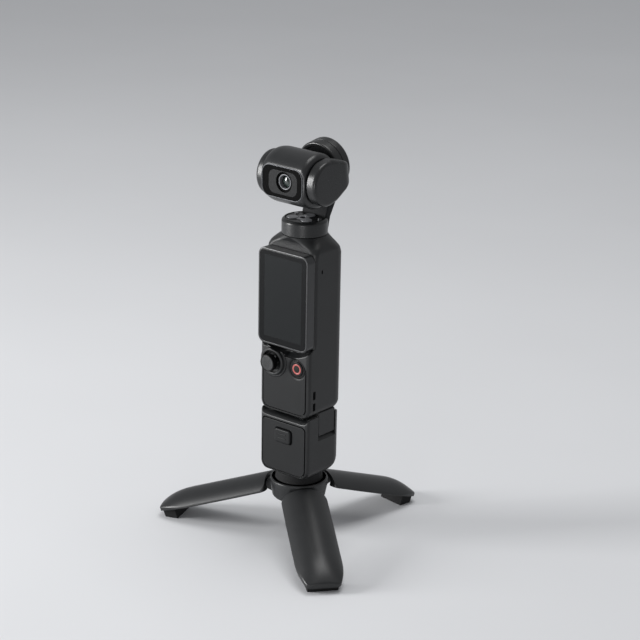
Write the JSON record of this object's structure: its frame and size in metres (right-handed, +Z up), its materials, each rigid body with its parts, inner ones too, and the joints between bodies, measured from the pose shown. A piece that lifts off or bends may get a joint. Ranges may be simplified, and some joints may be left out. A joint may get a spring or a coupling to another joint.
{
  "type": "gimbal camera",
  "caption": "Pocket gimbal camera with a swivelling screen, standing on a battery handle and a folding three-legged mini tripod.",
  "frame": {"origin": "middle of the object's footprint box, on the surface it stands on", "axes": "+Z up along the neck; the screen and the lens face -Y; +X is the viewer's right when facing the screen"},
  "size_m": [0.1418, 0.1354, 0.2164],
  "materials": {
    "shell_black": "fine matt moulded, charcoal black",
    "plate_grey": "satin painted plate",
    "leg_grey": "satin moulded, glass-filled",
    "rubber": "matt rubber",
    "screen_glass": "black cover glass",
    "display": "dark display",
    "arm_metal": "dark anodised",
    "steel": "plain steel",
    "brass": "turned brass",
    "board": "circuit board",
    "cell": "wrapped cell",
    "button_black": "smooth black plastic",
    "ring_red": "red lacquer",
    "lamp": "clear light pipe",
    "lens_black": "gloss black",
    "lens_glass": "coated glass",
    "chrome": "bright metal"
  },
  "bodies": {
    "root": {"tripod_hub": "leg_grey", "tripod_screw": "steel", "hub_pad": "rubber", "hinge_pins": "steel"},
    "leg_front": {"leg_front": "leg_grey", "foot_front": "rubber"},
    "leg_right": {"leg_right": "leg_grey", "foot_right": "rubber"},
    "leg_left": {"leg_left": "leg_grey", "foot_left": "rubber"},
    "handle": {"grip_shell": "shell_black", "grip_front_plate": "plate_grey", "clasp_pins": "steel", "thread_insert": "brass", "grip_battery": "cell", "grip_board": "board", "usb_plug": "steel"},
    "release_button": {"release_button": "plate_grey"},
    "clasp_left": {"clasp_left": "shell_black"},
    "clasp_right": {"clasp_right": "shell_black"},
    "camera": {"body_shell": "shell_black", "front_frame": "shell_black", "control_plate": "plate_grey", "main_board": "board", "camera_battery": "cell", "usb_socket": "steel", "speaker": "button_black", "body_screws": "steel", "status_lamp": "lamp", "switch_board": "board", "pan_motor": "steel", "joystick_base": "shell_black"},
    "screen": {"screen_frame": "shell_black", "screen_glass": "screen_glass", "display_panel": "display", "screen_retainer": "steel"},
    "stick_ring": {"joystick_ring": "button_black"},
    "stick_stem": {"joystick_stem": "steel"},
    "stick_cap": {"joystick_cap": "button_black"},
    "record_button": {"record_button": "button_black", "record_ring": "ring_red"},
    "function_key": {"function_key": "plate_grey"},
    "pan": {"pan_arm": "arm_metal", "neck_cap": "rubber", "neck_clip": "chrome", "neck_screws": "steel", "roll_motor": "steel", "roll_cover": "arm_metal"},
    "roll": {"roll_arm": "arm_metal", "tilt_motor": "steel"},
    "head": {"head_shell": "arm_metal", "head_left_cap": "arm_metal", "lens_bezel": "lens_black", "lens_window": "lens_black", "lens_barrel": "lens_black", "lens_ring": "chrome", "lens_elements": "lens_glass", "image_sensor": "board"}
  },
  "joints": [
    {"name": "leg_front_fold", "type": "hinge", "parent": "root", "child": "leg_front", "pos_m": [0.01328, -0.01749, 0.0258], "axis": [0.6428, 0.766, 0], "range_deg": [0, 70]},
    {"name": "leg_right_fold", "type": "hinge", "parent": "root", "child": "leg_right", "pos_m": [0.00735, -0.00121, 0.0258], "axis": [-0.9848, 0.1736, 0], "range_deg": [0, 70]},
    {"name": "leg_left_fold", "type": "hinge", "parent": "root", "child": "leg_left", "pos_m": [-0.00378, -0.01448, 0.0258], "axis": [0.342, -0.9397, 0], "range_deg": [0, 70]},
    {"name": "handle_turn", "type": "hinge", "parent": "root", "child": "handle", "pos_m": [0.00562, -0.01106, 0.033], "axis": [0, 0, 1], "range_deg": [-180, 180]},
    {"name": "release_press", "type": "slide", "parent": "handle", "child": "release_button", "axis": [0, 1, 0], "range_m": [0, 0.001], "stiffness_N_per_m": 1500},
    {"name": "clasp_left_open", "type": "hinge", "parent": "handle", "child": "clasp_left", "pos_m": [-0.00978, -0.00936, 0.0619], "axis": [0, -1, 0], "range_deg": [0, 4.05]},
    {"name": "clasp_right_open", "type": "hinge", "parent": "handle", "child": "clasp_right", "pos_m": [0.02102, -0.00936, 0.0619], "axis": [0, 1, 0], "range_deg": [0, 4.05]},
    {"name": "camera_lift", "type": "slide", "parent": "handle", "child": "camera", "axis": [0, 0, 1], "range_m": [0, 0.012]},
    {"name": "screen_turn", "type": "hinge", "parent": "camera", "child": "screen", "pos_m": [0.00562, -0.02049, 0.1359], "axis": [0, -1, 0], "range_deg": [0, 90]},
    {"name": "stick_up_down", "type": "hinge", "parent": "camera", "child": "stick_ring", "pos_m": [-0.00178, -0.0229, 0.1003], "axis": [1, 0, 0], "range_deg": [-10, 10], "stiffness_Nm_per_rad": 0.02},
    {"name": "stick_left_right", "type": "hinge", "parent": "stick_ring", "child": "stick_stem", "pos_m": [-0.00178, -0.0229, 0.1003], "axis": [0, 0, 1], "range_deg": [-10, 10], "stiffness_Nm_per_rad": 0.02},
    {"name": "stick_press", "type": "slide", "parent": "stick_stem", "child": "stick_cap", "axis": [0, 1, 0], "range_m": [0, 0.0004], "stiffness_N_per_m": 3000},
    {"name": "record_press", "type": "slide", "parent": "camera", "child": "record_button", "axis": [0, 1, 0], "range_m": [0, 0.00035], "stiffness_N_per_m": 4000},
    {"name": "function_press", "type": "slide", "parent": "camera", "child": "function_key", "axis": [0, 1, 0], "range_m": [0, 0.0003], "stiffness_N_per_m": 4000},
    {"name": "pan", "type": "hinge", "parent": "camera", "child": "pan", "pos_m": [0.00562, -0.00936, 0.16885], "axis": [0, 0, 1], "range_deg": [-60, 243]},
    {"name": "roll", "type": "hinge", "parent": "pan", "child": "roll", "pos_m": [0.00562, -0.01436, 0.1994], "axis": [0, 0.989, 0.1478], "range_deg": [-192, 15]},
    {"name": "tilt", "type": "hinge", "parent": "roll", "child": "head", "pos_m": [0.00562, -0.01436, 0.1994], "axis": [-1, 0, 0], "range_deg": [-180, 98]}
  ],
  "couplings": [
    {"joint": "clasp_left_open", "follows": "release_press", "rad_per_m": 69.813},
    {"joint": "clasp_right_open", "follows": "release_press", "rad_per_m": 69.813}
  ]
}
